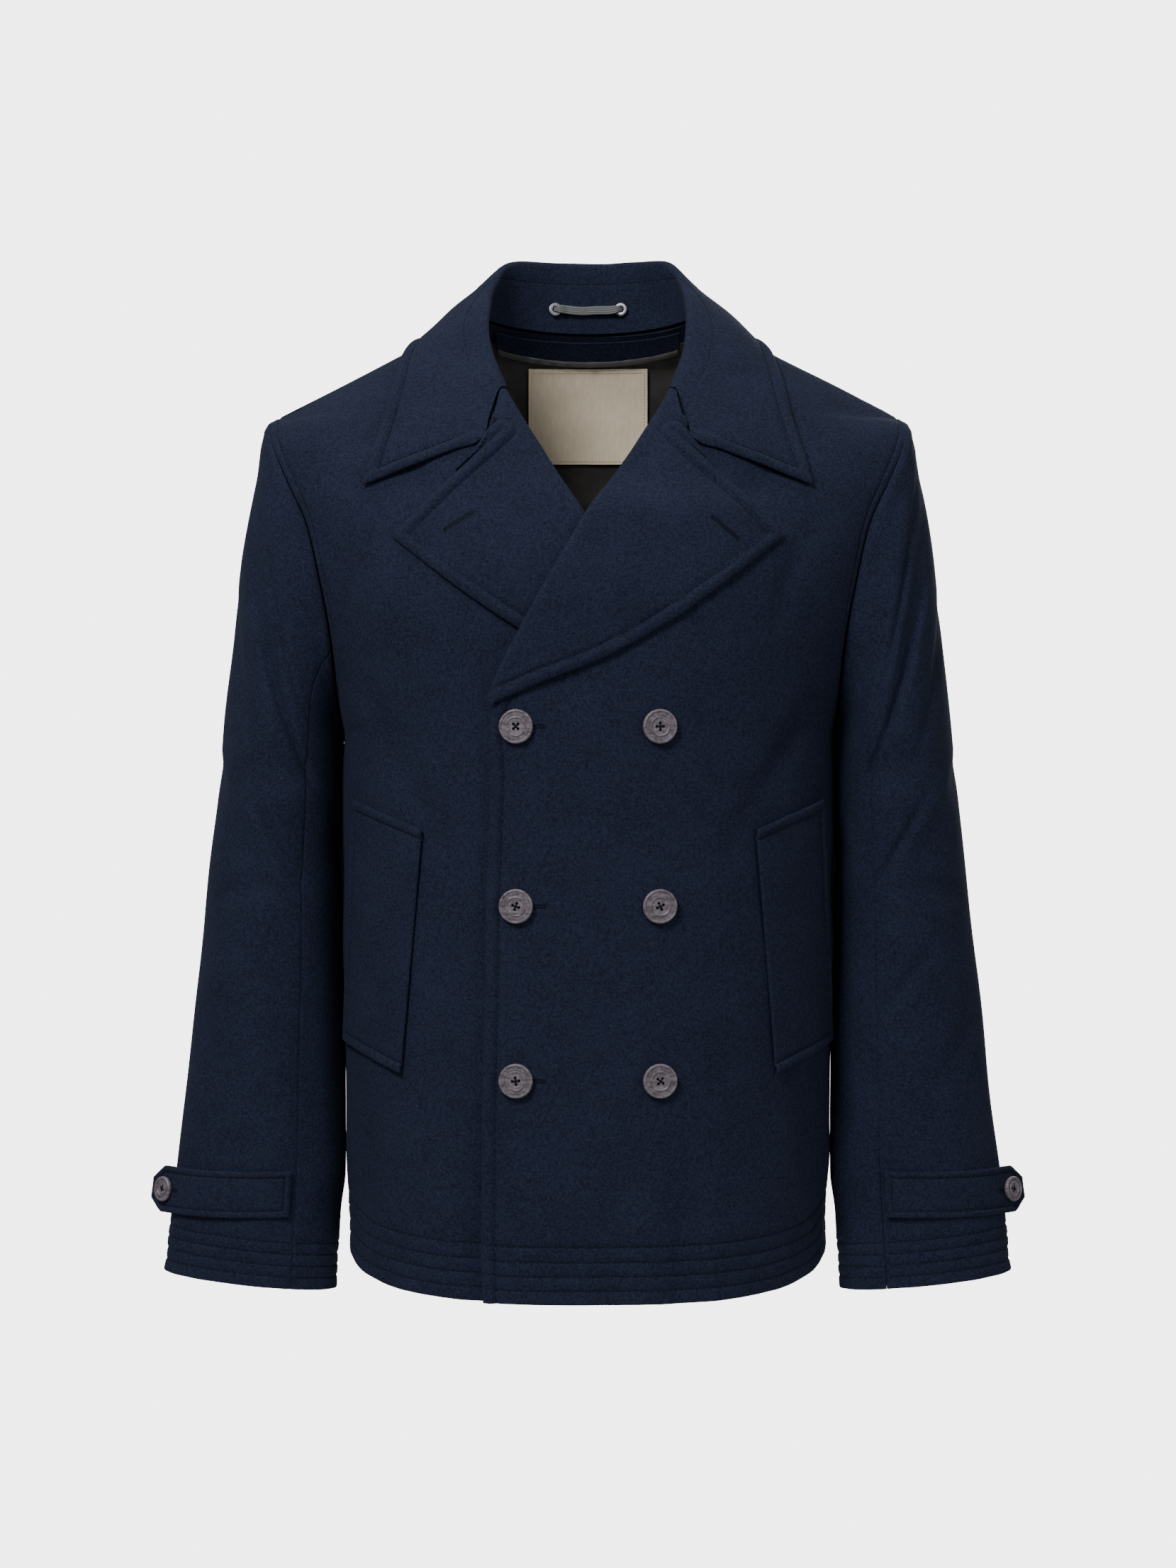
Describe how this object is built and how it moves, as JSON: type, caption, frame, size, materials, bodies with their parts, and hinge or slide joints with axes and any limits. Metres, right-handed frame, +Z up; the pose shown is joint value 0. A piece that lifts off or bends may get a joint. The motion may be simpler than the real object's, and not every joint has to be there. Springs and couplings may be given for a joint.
{
  "type": "winter jacket",
  "caption": "Double-breasted wool pea coat, worn with no wearer: open at the neck, hem and cuffs, with folded lapels, a wide collar, slanted welt pockets and buttoned cuff tabs.",
  "frame": {"origin": "mid width and mid depth of the coat, at the height of the shoulder seams' neck ends, where the wearer's shoulders hold it", "axes": "+Z up, -Y out of the front, +X towards the wearer's left"},
  "size_m": [0.6728, 0.3001, 0.8023],
  "materials": {
    "wool": "navy melton wool with a short matt nap",
    "satin": "dark satin lining",
    "label": "cream woven satin, bare",
    "tape": "grey ribbed tape",
    "horn": "mauve-grey moulded buttons, satin",
    "eyelet": "worn grey metal"
  },
  "bodies": {
    "root": {"front_over": "wool", "front_under": "wool", "back": "wool", "lapel_over": "wool", "lapel_under": "wool", "collar": "wool", "sleeve_top_left": "wool", "sleeve_top_left_low": "wool", "sleeve_under_left": "wool", "sleeve_top_right": "wool", "sleeve_top_right_low": "wool", "sleeve_under_right": "wool", "cuff_tab_left": "wool", "cuff_tab_right": "wool", "pocket_welt_left": "wool", "pocket_welt_right": "wool", "cuff_button_left": "horn", "cuff_button_right": "horn", "button_left_1": "horn", "button_left_2": "horn", "button_left_3": "horn", "button_right_1": "horn", "button_right_2": "horn", "button_right_3": "horn", "lining_back": "satin", "neck_facing": "wool", "neck_label": "label", "hanger_loop": "tape", "eyelet_left": "eyelet", "eyelet_right": "eyelet"}
  },
  "joints": []
}
